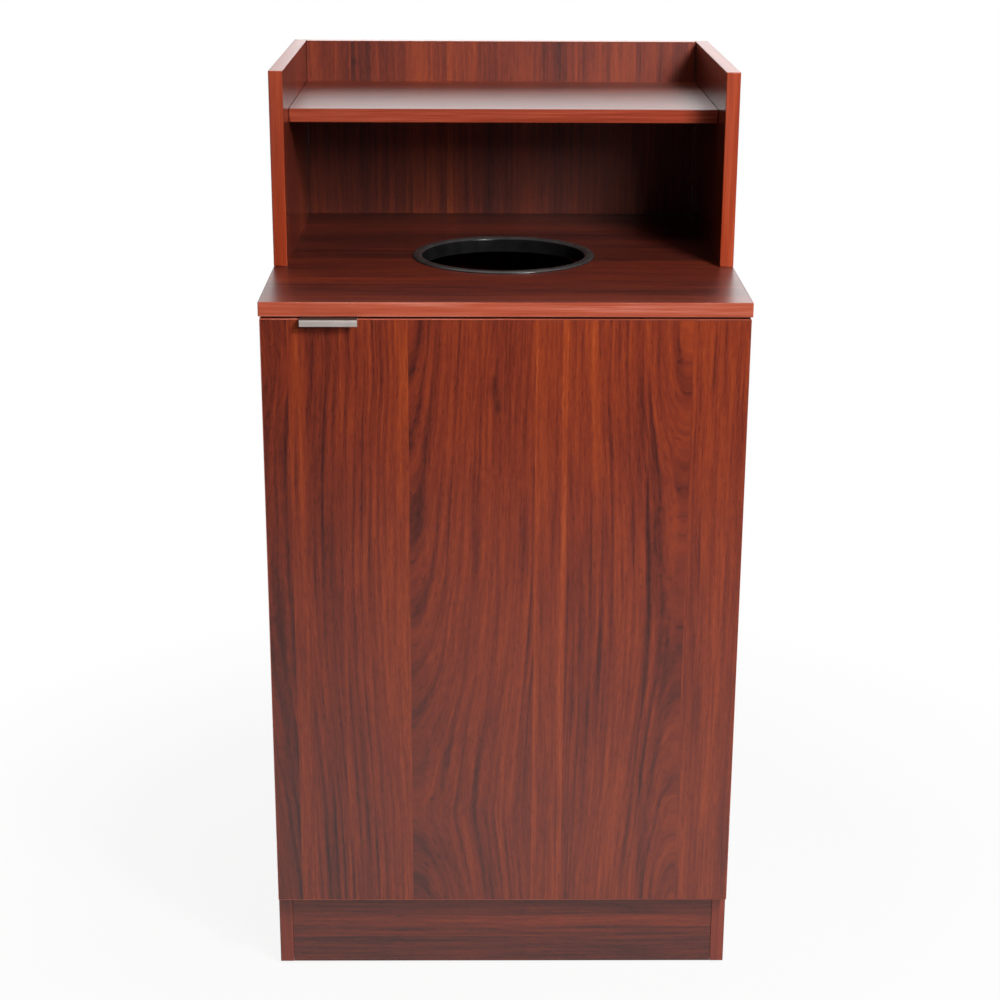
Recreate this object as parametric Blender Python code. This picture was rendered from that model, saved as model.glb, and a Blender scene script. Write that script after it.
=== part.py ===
"""Waste receptacle enclosure: a laminated cabinet with a hinged front door, a deck with a round drop hole
and a hutch that holds a tray shelf. Metres, +Z up, front towards -Y, origin on the floor under the centre."""

import math

import bmesh
import bpy
from mathutils import Matrix, Vector

# Cabinet
WIDTH = 0.600  # across the side panels, the deck and the hutch
DEPTH = 0.610  # from the door's face to the back
DECK_HEIGHT = 0.9215  # floor to the deck's top
HUTCH_HEIGHT = 0.2508  # deck's top to the hutch's top
HUTCH_SETBACK = 0.210  # deck's front edge to the hutch's front edges
SHELF_DROP = 0.0572  # hutch's top to the tray shelf's top
SHELF_SETBACK = 0.078  # hutch's front edges to the shelf's front edge
PLINTH_HEIGHT = 0.1025
PLINTH_RECESS = 0.001  # plinth board behind the side panels' front edges
BOARD = 0.018  # thickness of every laminated board
BAND = 0.001  # thickness of the edge bands
ARRIS = 0.0007  # rounding of the bands' outer edges

# Gaps between pieces
FIT = 0.0003  # where two pieces meet
GLUE = 0.0001  # between a band and its board
SHELF_END_GAP = 0.0006
DOOR_GAP = 0.002  # behind the closed door
DOOR_TOP_GAP = 0.0026
DOOR_BOTTOM_GAP = 0.002
DOOR_SIDE_GAP = 0.0015

# Drop hole
HOLE_SETBACK = 0.2858  # deck's front edge to the hole's centre
RING_FLANGE = 0.1225  # outer radius of the ring
RING_BORE = 0.1086  # clear radius
RING_WALL = 0.0025
RING_LIP = 0.0028  # height of the flange over the deck
RING_SKIRT = 0.0175  # depth of the ring below the deck's top
RING_PLAY = 0.0008  # between the skirt and the deck's hole
RING_STEPS = 64
LIP_STEPS = 8

# Door pull, bent from one strip that hooks over the door's top edge
PULL_INSET = 0.049  # door's free edge to the pull
PULL_LENGTH = 0.070
PULL_METAL = 0.0016
PULL_REACH = 0.0115  # in front of the door's face
PULL_LIP = 0.0090
PULL_LEG = 0.022
PULL_BEND = 0.0024  # outer radius of the bends
PULL_SCREW_INSET = 0.014  # from each end of the pull

# Glides under the side panels
GLIDE_HEIGHT = 0.004
GLIDE_RADIUS = 0.008
GLIDE_INSET = 0.035
NAIL_RADIUS = 0.0015
NAIL_LENGTH = 0.012

# Cam locks and dowels
CAM_RADIUS = 0.0075
CAM_DEPTH = 0.0125
CAM_INSET = 0.034  # from the joint that the cam draws together
CAM_SLOT = 0.0018
DECK_CAM_INSET = 0.070  # from the carcass's front and back
SHELF_CAM_INSET = 0.050  # from the shelf's front and back
DOWEL_RADIUS = 0.004
DOWEL_IN_DECK = 0.012
DOWEL_IN_HUTCH = 0.018
DOWEL_INSET = 0.060

# Door bumpers
BUMPER_RADIUS = 0.0045
BUMPER_INSET = 0.040  # from the door's top and bottom

# Concealed hinges: places in the plan are from the door's hinge edge and from the door's back face
HINGE_INSET = 0.100  # from the door's top and bottom to the hinges' centres
CUP_RADIUS = 0.0175  # bore in the door
CUP_DEPTH = 0.0115
CUP_EDGE = 0.004  # bore to the door's hinge edge
CUP_WALL = 0.0014
CUP_FLOOR = 0.0009
CUP_RIM = 0.0015  # flange beyond the bore
FLANGE_METAL = 0.0008
CUP_SCREW_SPACING = 0.048
CUP_SCREW_OFFSET = 0.006  # screws' line behind the cup's centre
CUP_EAR_RADIUS = 0.0055
ARM_PIVOT_OUTER = (-0.0360, 0.0103)
ARM_PIVOT_INNER = (-0.0270, -0.0074)
CUP_PIVOT_OUTER = (-0.0110, -0.0018)
CUP_PIVOT_INNER = (-0.0132, -0.0063)
PIN_RADIUS = 0.0010
PIN_PLAY = 0.0002
CUP_PIN_TIP = 0.0042  # hinge's centre to the stub pins' tips
CUP_PIN_ROOT = 0.0126  # and to their roots in the cup's wall
FREE_PIN_HALF = 0.0108  # half length of the pin that the inner link carries
CUP_NOTCH_INNER = -0.0080  # notch in the cup's rim: door's hinge edge to its inner end
CUP_NOTCH_FLOOR = -0.0012  # its floor, from the door's back face
CUP_NOTCH_HALF = 0.0085
EYE_WALL = 0.0011  # round the arm's pins
CUP_EYE_WALL = 0.0007  # round the cup's pins
LINK_BAR = 0.0009  # half width of the links in the plan
# Outer link's bends: distance from the arm's pin along the link, and offset towards the side panel
LINK_BENDS = ((0.00833, 0.0002), (0.01833, 0.0003), (0.02222, -0.0004), (0.02555, -0.0004))
LINK_PLATE = 0.0016
LINK_PLAY = 0.0003
ARM_HALF = 0.0075
ARM_METAL = 0.0013
ARM_NOSE = 0.0024  # radius of the arm's nose round its pins
ARM_CROWN = 0.0042  # arm's back beyond the outer pivot
ARM_CHEEK = 0.0125  # height of the arm's cheeks
ARM_SHOULDER = 0.0080  # outer pivot to the arm's straight stretch
ARM_TAIL = 0.0195  # mounting line to the arm's end
ARM_SCREW_RADIUS = 0.0030
ARM_SCREW_HEIGHT = 0.0011
ARM_SCREW_SPACING = 0.016
PLATE_LINE = 0.037  # carcass's front to the mounting line
PLATE_WING = 0.0065  # half width of the wings
PLATE_HALF = 0.0245  # half height of the wings
PLATE_METAL = 0.0028
PLATE_RAIL = 0.0140  # half length of the rail
PLATE_SCREW_SPACING = 0.032

# Screws
SCREW_HEAD = 0.0034
SCREW_HEAD_HEIGHT = 0.0012
SCREW_SHANK = 0.0015
SCREW_LENGTH = 0.0095
SCREW_PLAY = 0.0003
SMALL_STEPS = 16
CUP_STEPS = 32

# Planes and places that follow from the sizes
FRONT = -(DEPTH - PULL_REACH) / 2
BACK = FRONT + DEPTH
HALF_WIDTH = WIDTH / 2
SIDE_INNER = HALF_WIDTH - BOARD
BETWEEN_SIDES = SIDE_INNER - FIT
CARCASS_FRONT = FRONT + BOARD + DOOR_GAP
BACK_INNER = BACK - BOARD
DECK_UNDER = DECK_HEIGHT - BOARD
CARCASS_TOP = DECK_UNDER - FIT
FLOOR_UNDER = GLIDE_HEIGHT + PLINTH_HEIGHT
HUTCH_FOOT = DECK_HEIGHT + FIT
HUTCH_TOP = DECK_HEIGHT + HUTCH_HEIGHT
HUTCH_FRONT = FRONT + HUTCH_SETBACK
SHELF_TOP = HUTCH_TOP - SHELF_DROP
SHELF_FRONT = HUTCH_FRONT + SHELF_SETBACK
SHELF_HALF = SIDE_INNER - SHELF_END_GAP
HOLE_Y = FRONT + HOLE_SETBACK
DOOR_BACK = FRONT + BOARD
DOOR_TOP = DECK_UNDER - DOOR_TOP_GAP
DOOR_BOTTOM = FLOOR_UNDER + DOOR_BOTTOM_GAP
DOOR_HALF = HALF_WIDTH - DOOR_SIDE_GAP
BANDED = BAND + GLUE
EDGE_LINE = HALF_WIDTH - BOARD / 2  # middle of a side panel's thickness
HINGE_HEIGHTS = {"lower": DOOR_BOTTOM + HINGE_INSET, "upper": DOOR_TOP - HINGE_INSET}
LINK_HALF = ARM_HALF - ARM_METAL - LINK_PLAY
INNER_LINK_HALF = LINK_HALF - LINK_PLATE - LINK_PLAY
CUP_CENTRE = -(CUP_EDGE + CUP_RADIUS)
PLATE_V = DOOR_GAP + PLATE_LINE

PLANE = {"X": "yz", "Y": "zx", "Z": "xy"}  # the two axes of an outline that is extruded along a third


def hinge_point(place, height=0.0):
    """World position of a place in the hinge's plan."""
    return Vector((DOOR_HALF + place[0], DOOR_BACK + place[1], height))


def surface(name, colour, roughness, metallic=0.0):
    material = bpy.data.materials.new(name)
    material.use_nodes = True
    shader = material.node_tree.nodes["Principled BSDF"]
    shader.inputs["Base Color"].default_value = (*colour, 1.0)
    shader.inputs["Roughness"].default_value = roughness
    shader.inputs["Metallic"].default_value = metallic
    return material


def carrier(name, place=(0.0, 0.0, 0.0)):
    """An empty on a body's joint axis, which carries that body's pieces."""
    empty = bpy.data.objects.new(name, None)
    empty.location = place
    bpy.context.scene.collection.objects.link(empty)
    return empty


def solid(name, bm, material, parent, smooth=False):
    """A named object under its carrier, from a bmesh drawn in world coordinates."""
    bmesh.ops.recalc_face_normals(bm, faces=bm.faces)
    bmesh.ops.translate(bm, verts=bm.verts, vec=-parent.location)
    mesh = bpy.data.meshes.new(name)
    bm.to_mesh(mesh)
    bm.free()
    mesh.materials.append(material)
    if smooth:
        mesh.shade_smooth()
        mesh.set_sharp_from_angle(angle=math.radians(35))
    obj = bpy.data.objects.new(name, mesh)
    bpy.context.scene.collection.objects.link(obj)
    obj.parent = parent
    return obj


def boolean(target, operation, shapes):
    """Cuts the shapes, bmeshes in world coordinates, from the target, or joins them to it."""
    for number, bm in enumerate(shapes):
        name = f"{target.name}.{operation.lower()}{number}"
        tool = solid(name, bm, target.data.materials[0], target.parent)
        tool.hide_render = True
        tool.display_type = "WIRE"
        modifier = target.modifiers.new(name, "BOOLEAN")
        modifier.operation = operation
        modifier.solver = "EXACT"
        modifier.object = tool


def block(low, high):
    bm = bmesh.new()
    size = [b - a for a, b in zip(low, high)]
    middle = [(a + b) / 2 for a, b in zip(low, high)]
    bmesh.ops.create_cube(bm, size=1.0, matrix=Matrix.Translation(middle) @ Matrix.Diagonal((*size, 1.0)))
    return bm


def rod(start, end, radius, steps=SMALL_STEPS):
    """A cylinder from start to end."""
    return rods([(start, end)], radius, steps)


def rods(spans, radius, steps=SMALL_STEPS):
    """Several cylinders of one radius in one bmesh."""
    bm = bmesh.new()
    for start, end in spans:
        start, end = Vector(start), Vector(end)
        turn = (end - start).to_track_quat("Z", "Y").to_matrix().to_4x4()
        bmesh.ops.create_cone(
            bm,
            cap_ends=True,
            segments=steps,
            radius1=radius,
            radius2=radius,
            depth=(end - start).length,
            matrix=Matrix.Translation((start + end) / 2) @ turn,
        )
    return bm


def prism(outline, start, end, axis):
    """An outline extruded along an axis. Its two coordinates are YZ, ZX or XY, for X, Y or Z."""
    bm = bmesh.new()
    first, second = PLANE[axis]
    along = Vector((axis == "X", axis == "Y", axis == "Z"))
    corners = []
    for u, v in outline:
        corner = along * start
        setattr(corner, first, u)
        setattr(corner, second, v)
        corners.append(bm.verts.new(corner))
    grown = bmesh.ops.extrude_face_region(bm, geom=[bm.faces.new(corners)])
    moved = [item for item in grown["geom"] if isinstance(item, bmesh.types.BMVert)]
    bmesh.ops.translate(bm, verts=moved, vec=along * (end - start))
    return bm


def turned(profile, origin, direction, steps=SMALL_STEPS):
    """A profile of (radius, height) points, spun about a line through origin."""
    bm = bmesh.new()
    verts = [bm.verts.new((radius, 0.0, height)) for radius, height in profile]
    closed = min(radius for radius, height in profile) > 0
    ends = zip(verts, verts[1:] + verts[:1]) if closed else zip(verts, verts[1:])
    edges = [bm.edges.new(pair) for pair in ends]
    bmesh.ops.spin(
        bm, geom=verts + edges, cent=(0, 0, 0), axis=(0, 0, 1), angle=math.tau, steps=steps, use_merge=True
    )
    bmesh.ops.remove_doubles(bm, verts=bm.verts, dist=1e-6)
    turn = Vector(direction).to_track_quat("Z", "Y").to_matrix().to_4x4()
    bmesh.ops.transform(bm, verts=bm.verts, matrix=Matrix.Translation(origin) @ turn)
    return bm


def offset_path(path, distance, closed=False):
    """The path moved to its left by a distance, with mitred corners."""
    points = [Vector(point) for point in path]
    count = len(points)
    moved = []
    for i, here in enumerate(points):
        before = points[i - 1] if closed or i > 0 else None
        after = points[(i + 1) % count] if closed or i < count - 1 else None
        arriving = (here - before).normalized() if before is not None else (after - here).normalized()
        leaving = (after - here).normalized() if after is not None else arriving
        left_in, left_out = Vector((-arriving.y, arriving.x)), Vector((-leaving.y, leaving.x))
        moved.append(here + (left_in + left_out) * (distance / (1.0 + left_in.dot(left_out))))
    return moved


def arc(centre, radius, start, end, steps):
    """Points of an arc, with its angles in degrees."""
    angles = [math.radians(start + (end - start) * i / steps) for i in range(steps + 1)]
    return [Vector((centre[0] + radius * math.cos(a), centre[1] + radius * math.sin(a))) for a in angles]


def bar_outline(path, half):
    """A bar of even width along a path, with round ends."""
    def cap(end, inner):
        heading = math.degrees(math.atan2(end.y - inner.y, end.x - inner.x))
        return arc(end, half, heading - 90, heading + 90, 6)

    points = [Vector(point) for point in path]
    right = offset_path(points, -half)[1:-1]
    left = offset_path(points, half)[1:-1]
    return cap(points[0], points[1]) + right + cap(points[-1], points[-2]) + left[::-1]


def hull(points):
    """The convex outline round a set of points, anticlockwise."""
    ordered = sorted((point[0], point[1]) for point in points)

    def chain(run):
        kept = []
        for p in run:
            while len(kept) > 1 and (
                (kept[-1][0] - kept[-2][0]) * (p[1] - kept[-2][1])
                <= (kept[-1][1] - kept[-2][1]) * (p[0] - kept[-2][0])
            ):
                kept.pop()
            kept.append(p)
        return kept[:-1]

    return chain(ordered) + chain(ordered[::-1])


def round_outer_edges(bm, inner, axis):
    """Marks the edges that touch no inner point, for a Bevel limited by weight."""
    weight = bm.edges.layers.float.new("bevel_weight_edge")
    first, second = PLANE[axis]

    def is_inner(vert):
        place = Vector((getattr(vert.co, first), getattr(vert.co, second)))
        return min((place - point).length for point in inner) < GLUE

    for edge in bm.edges:
        edge[weight] = 0.0 if any(is_inner(vert) for vert in edge.verts) else 1.0


def edge_band(name, path, start, end, axis, material, parent, closed=False):
    """A strip that follows a board's edges: path is its outer face, with the board on its left."""
    inner = offset_path(path, BAND, closed)
    outline = path if closed else [Vector(point) for point in path] + inner[::-1]
    bm = prism(outline, start, end, axis)
    round_outer_edges(bm, inner, axis)
    band = solid(name, bm, material, parent)
    bevel = band.modifiers.new("arris", "BEVEL")
    bevel.width = ARRIS
    bevel.segments = 2
    bevel.limit_method = "WEIGHT"
    if closed:
        boolean(band, "DIFFERENCE", [prism(inner, start - BOARD, end + BOARD, axis)])


def screw(name, seat, direction, material, parent):
    """A pan-head screw whose head sits at seat and whose shank points along direction."""
    profile = [
        (0.0, SCREW_LENGTH),
        (SCREW_SHANK * 0.5, SCREW_LENGTH),
        (SCREW_SHANK, SCREW_LENGTH - SCREW_SHANK),
        (SCREW_SHANK, 0.0),
        (SCREW_HEAD, 0.0),
        (SCREW_HEAD * 0.92, -SCREW_HEAD_HEIGHT * 0.6),
        (SCREW_HEAD * 0.6, -SCREW_HEAD_HEIGHT),
        (0.0, -SCREW_HEAD_HEIGHT),
    ]
    solid(name, turned(profile, seat, direction), material, parent, smooth=True)


def screw_hole(seat, direction, depth=SCREW_LENGTH):
    """Ends of a hole that a screw's shank fits, from above its seat."""
    direction = Vector(direction)
    return Vector(seat) - direction * BOARD / 2, Vector(seat) + direction * (depth + SCREW_PLAY)


def make_side_panel(name, sign, glides, cams, plate_screws, board, band, parent):
    inner, outer = sorted((sign * SIDE_INNER, sign * HALF_WIDTH))
    panel = solid(
        f"{name}_panel",
        block((inner, CARCASS_FRONT + BANDED, GLIDE_HEIGHT), (outer, BACK, CARCASS_TOP)),
        board,
        parent,
    )
    nails = [(p - Vector((0, 0, GLIDE_HEIGHT)), p + Vector((0, 0, NAIL_LENGTH + FIT))) for p in glides]
    bores = [(p - Vector((sign * BOARD, 0, 0)), p + Vector((sign * CAM_DEPTH, 0, 0))) for p in cams]
    cuts = [rods(nails, NAIL_RADIUS + FIT), rods(bores, CAM_RADIUS, CUP_STEPS)]
    if plate_screws:
        holes = [screw_hole(p, (sign, 0, 0)) for p in plate_screws]
        cuts.append(rods(holes, SCREW_SHANK + SCREW_PLAY))
    boolean(panel, "DIFFERENCE", cuts)
    left = sign * HALF_WIDTH if sign < 0 else SIDE_INNER
    edge_band(
        f"{name}_edge_band",
        [(left, CARCASS_FRONT), (left + BOARD, CARCASS_FRONT)],
        GLIDE_HEIGHT,
        CARCASS_TOP,
        "Z",
        band,
        parent,
    )


def make_glides(material, parent):
    """Nail-on glides under each side panel; returns where they meet the panels."""
    seats = {}
    for side, sign in (("left", -1), ("right", 1)):
        for end, y in (("front", CARCASS_FRONT + GLIDE_INSET), ("rear", BACK - GLIDE_INSET)):
            top = GLIDE_HEIGHT - FIT
            profile = [
                (0.0, top + NAIL_LENGTH),
                (NAIL_RADIUS, top + NAIL_LENGTH - NAIL_RADIUS),
                (NAIL_RADIUS, top),
                (GLIDE_RADIUS, top),
                (GLIDE_RADIUS, top * 0.45),
                (GLIDE_RADIUS * 0.8, 0.0),
                (0.0, 0.0),
            ]
            foot = Vector((sign * EDGE_LINE, y, 0.0))
            solid(f"glide_{end}_{side}", turned(profile, foot, (0, 0, 1)), material, parent, smooth=True)
            seats.setdefault(side, []).append(foot + Vector((0, 0, GLIDE_HEIGHT)))
    return seats


def make_cam(name, mouth, inward, material, parent):
    """A cam lock in a bore whose mouth is given, with its slot showing."""
    inward = Vector(inward)
    radius = CAM_RADIUS - FIT
    cam = solid(name, rod(mouth + inward * FIT, mouth + inward * (CAM_DEPTH - FIT), radius), material, parent)
    across = inward.orthogonal().normalized()
    along = inward.cross(across)
    deep = mouth + inward * CAM_SLOT
    reach = [along * radius * 0.7, across * CAM_SLOT / 2, inward * CAM_SLOT]
    corners = [deep + reach[0] + reach[1], deep - reach[0] - reach[1] - reach[2]]
    low = [min(a, b) for a, b in zip(*corners)]
    high = [max(a, b) for a, b in zip(*corners)]
    boolean(cam, "DIFFERENCE", [block(low, high)])


def make_carcass(board, band, metal, glide_stuff, cabinet):
    glides = make_glides(glide_stuff, cabinet)
    cam_rows = {"front": CARCASS_FRONT + DECK_CAM_INSET, "rear": BACK - DECK_CAM_INSET}
    for side, sign in (("left", -1), ("right", 1)):
        cams = []
        for end, y in cam_rows.items():
            mouth = Vector((sign * SIDE_INNER, y, DECK_UNDER - CAM_INSET))
            make_cam(f"deck_cam_{end}_{side}", mouth, (sign, 0, 0), metal, cabinet)
            cams.append(mouth)
        plate_screws = plate_screw_seats() if sign > 0 else []
        make_side_panel(f"{side}_side", sign, glides[side], cams, plate_screws, board, band, cabinet)
    solid(
        "back_panel",
        block((-BETWEEN_SIDES, BACK_INNER, GLIDE_HEIGHT), (BETWEEN_SIDES, BACK, CARCASS_TOP)),
        board,
        cabinet,
    )
    solid(
        "bottom_panel",
        block(
            (-BETWEEN_SIDES, CARCASS_FRONT + PLINTH_RECESS, FLOOR_UNDER),
            (BETWEEN_SIDES, BACK_INNER - FIT, FLOOR_UNDER + BOARD),
        ),
        board,
        cabinet,
    )
    plinth_front = CARCASS_FRONT + PLINTH_RECESS
    solid(
        "plinth_board",
        block((-BETWEEN_SIDES, plinth_front, GLIDE_HEIGHT), (BETWEEN_SIDES, plinth_front + BOARD, FLOOR_UNDER - FIT)),
        board,
        cabinet,
    )


def dowel_places():
    return [
        (f"hutch_dowel_{end}_{side}", Vector((sign * EDGE_LINE, y, DECK_HEIGHT)))
        for side, sign in (("left", -1), ("right", 1))
        for end, y in (("front", HUTCH_FRONT + DOWEL_INSET), ("rear", BACK - DOWEL_INSET))
    ]


def make_deck(board, band, cabinet):
    deck = solid(
        "deck_panel",
        block((-HALF_WIDTH + BANDED, FRONT + BANDED, DECK_UNDER), (HALF_WIDTH - BANDED, BACK, DECK_HEIGHT)),
        board,
        cabinet,
    )
    hole_radius = RING_BORE + RING_WALL + RING_PLAY
    hole = rod((0, HOLE_Y, DECK_UNDER - BOARD), (0, HOLE_Y, DECK_HEIGHT + BOARD), hole_radius, RING_STEPS)
    sockets = [(p - Vector((0, 0, DOWEL_IN_DECK + FIT)), p + Vector((0, 0, BOARD))) for _, p in dowel_places()]
    boolean(deck, "DIFFERENCE", [hole, rods(sockets, DOWEL_RADIUS + FIT)])
    rim = [(-HALF_WIDTH, BACK), (-HALF_WIDTH, FRONT), (HALF_WIDTH, FRONT), (HALF_WIDTH, BACK)]
    edge_band("deck_edge_band", rim, DECK_UNDER, DECK_HEIGHT, "Z", band, cabinet)


def make_drop_ring(plastic, cabinet):
    """The ring's flange lies on the deck, and its skirt lines the hole."""
    width = RING_FLANGE - RING_BORE
    crown = []
    for i in range(LIP_STEPS + 1):
        t = i / LIP_STEPS
        crown.append((RING_BORE + width * t, FIT + RING_LIP * (1 - (2 * t - 1) ** 4)))
    outside = RING_BORE + RING_WALL
    profile = [(RING_BORE, -RING_SKIRT)] + crown + [(outside, FIT), (outside, -RING_SKIRT)]
    centre = (0.0, HOLE_Y, DECK_HEIGHT)
    solid("drop_hole_ring", turned(profile, centre, (0, 0, 1), RING_STEPS), plastic, cabinet, smooth=True)


def make_hutch(board, band, wood, cabinet):
    for side, sign in (("left", -1), ("right", 1)):
        inner, outer = sorted((sign * SIDE_INNER, sign * HALF_WIDTH))
        panel = solid(
            f"hutch_{side}_panel",
            block((inner, HUTCH_FRONT + BANDED, HUTCH_FOOT), (outer, BACK, HUTCH_TOP - BANDED)),
            board,
            cabinet,
        )
        sockets = [
            (p - Vector((0, 0, BOARD)), p + Vector((0, 0, DOWEL_IN_HUTCH + FIT)))
            for name, p in dowel_places()
            if name.endswith(side)
        ]
        boolean(panel, "DIFFERENCE", [rods(sockets, DOWEL_RADIUS + FIT)])
        outline = [(BACK, HUTCH_TOP), (HUTCH_FRONT, HUTCH_TOP), (HUTCH_FRONT, HUTCH_FOOT)]
        edge_band(f"hutch_{side}_edge_band", outline, inner, outer, "X", band, cabinet)
    solid(
        "hutch_back_panel",
        block((-BETWEEN_SIDES, BACK_INNER, HUTCH_FOOT), (BETWEEN_SIDES, BACK, HUTCH_TOP - BANDED)),
        board,
        cabinet,
    )
    top = [(BACK, HUTCH_TOP), (BACK_INNER, HUTCH_TOP)]
    edge_band("hutch_back_edge_band", top, -BETWEEN_SIDES, BETWEEN_SIDES, "X", band, cabinet)
    for name, p in dowel_places():
        ends = p - Vector((0, 0, DOWEL_IN_DECK)), p + Vector((0, 0, DOWEL_IN_HUTCH))
        solid(name, rod(*ends, DOWEL_RADIUS), wood, cabinet, smooth=True)


def make_tray_shelf(board, band, metal, cabinet):
    under = SHELF_TOP - BOARD
    shelf = solid(
        "tray_shelf",
        block((-SHELF_HALF, SHELF_FRONT + BANDED, under), (SHELF_HALF, BACK_INNER - FIT, SHELF_TOP)),
        board,
        cabinet,
    )
    edge_band(
        "shelf_edge_band",
        [(-SHELF_HALF, SHELF_FRONT), (SHELF_HALF, SHELF_FRONT)],
        under,
        SHELF_TOP,
        "Z",
        band,
        cabinet,
    )
    bores = []
    for side, sign in (("left", -1), ("right", 1)):
        for end, y in (("front", SHELF_FRONT + SHELF_CAM_INSET), ("rear", BACK_INNER - SHELF_CAM_INSET)):
            mouth = Vector((sign * (SIDE_INNER - CAM_INSET), y, under))
            make_cam(f"shelf_cam_{end}_{side}", mouth, (0, 0, 1), metal, cabinet)
            bores.append((mouth - Vector((0, 0, BOARD)), mouth + Vector((0, 0, CAM_DEPTH))))
    boolean(shelf, "DIFFERENCE", [rods(bores, CAM_RADIUS, CUP_STEPS)])


def pull_screw_seats():
    left = -DOOR_HALF + PULL_INSET
    y = DOOR_BACK + FIT + PULL_METAL
    z = DOOR_TOP - PULL_LEG / 2
    ends = {"left": left + PULL_SCREW_INSET, "right": left + PULL_LENGTH - PULL_SCREW_INSET}
    return {end: Vector((x, y, z)) for end, x in ends.items()}


def cup_screw_seats():
    """Where the cup screws' heads sit, two for each hinge."""
    seats = {}
    place = (CUP_CENTRE - CUP_SCREW_OFFSET, FIT + FLANGE_METAL)
    for hinge, height in HINGE_HEIGHTS.items():
        for end, sign in (("low", -1), ("high", 1)):
            seats[f"{hinge}_cup_screw_{end}"] = hinge_point(place, height + sign * CUP_SCREW_SPACING / 2)
    return seats


def plate_face():
    """X of the mounting plates' wings, on the side that their screws' heads sit on."""
    return SIDE_INNER - FIT - PLATE_METAL


def plate_screw_seats():
    y = DOOR_BACK + PLATE_V
    return [
        Vector((plate_face(), y, height + sign * PLATE_SCREW_SPACING / 2))
        for height in HINGE_HEIGHTS.values()
        for sign in (-1, 1)
    ]


def make_door(board, band, rubber, metal, door):
    panel = solid(
        "door_panel",
        block(
            (-DOOR_HALF + BANDED, FRONT, DOOR_BOTTOM + BANDED),
            (DOOR_HALF - BANDED, DOOR_BACK, DOOR_TOP - BANDED),
        ),
        board,
        door,
    )
    cups = []
    for height in HINGE_HEIGHTS.values():
        cups.append((hinge_point((CUP_CENTRE, BOARD), height), hinge_point((CUP_CENTRE, -CUP_DEPTH), height)))
    seats = list(cup_screw_seats().values()) + list(pull_screw_seats().values())
    holes = [screw_hole(seat, (0, -1, 0)) for seat in seats]
    boolean(panel, "DIFFERENCE", [rods(cups, CUP_RADIUS, CUP_STEPS), rods(holes, SCREW_SHANK + SCREW_PLAY)])
    corners = [
        (DOOR_BOTTOM, -DOOR_HALF),
        (DOOR_TOP, -DOOR_HALF),
        (DOOR_TOP, DOOR_HALF),
        (DOOR_BOTTOM, DOOR_HALF),
    ]
    edge_band("door_edge_band", corners, FRONT, DOOR_BACK, "Y", band, door, closed=True)
    height = DOOR_GAP - 2 * FIT
    profile = [
        (0.0, height),
        (BUMPER_RADIUS * 0.7, height),
        (BUMPER_RADIUS, height * 0.5),
        (BUMPER_RADIUS, 0.0),
        (0.0, 0.0),
    ]
    for end, z in (("upper", DOOR_TOP - BUMPER_INSET), ("lower", DOOR_BOTTOM + BUMPER_INSET)):
        seat = Vector((-EDGE_LINE, DOOR_BACK + FIT, z))
        solid(f"door_bumper_{end}", turned(profile, seat, (0, 1, 0)), rubber, door, smooth=True)
    for name, seat in cup_screw_seats().items():
        screw(name, seat + Vector((0, FIT, 0)), (0, -1, 0), metal, door)


def make_pull(metal, door):
    """One strip: a leg on the door's back, a bridge over its top edge and a lip in front."""
    leg_y = DOOR_BACK + FIT + PULL_METAL
    top_z = DOOR_TOP + FIT + PULL_METAL
    lip_y = FRONT - PULL_REACH
    bends = arc((leg_y - PULL_BEND, top_z - PULL_BEND), PULL_BEND, 0, 90, 4)
    bends += arc((lip_y + PULL_BEND, top_z - PULL_BEND), PULL_BEND, 90, 180, 4)
    path = [Vector((leg_y, DOOR_TOP - PULL_LEG))] + bends + [Vector((lip_y, top_z - PULL_LIP))]
    left = -DOOR_HALF + PULL_INSET
    outline = path + offset_path(path, PULL_METAL)[::-1]
    pull = solid("door_pull", prism(outline, left, left + PULL_LENGTH, "X"), metal, door)
    holes = [screw_hole(seat, (0, -1, 0), PULL_METAL) for seat in pull_screw_seats().values()]
    boolean(pull, "DIFFERENCE", [rods(holes, SCREW_SHANK + SCREW_PLAY)])
    for end, seat in pull_screw_seats().items():
        screw(f"pull_screw_{end}", seat + Vector((0, FIT, 0)), (0, -1, 0), metal, door)


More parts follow.
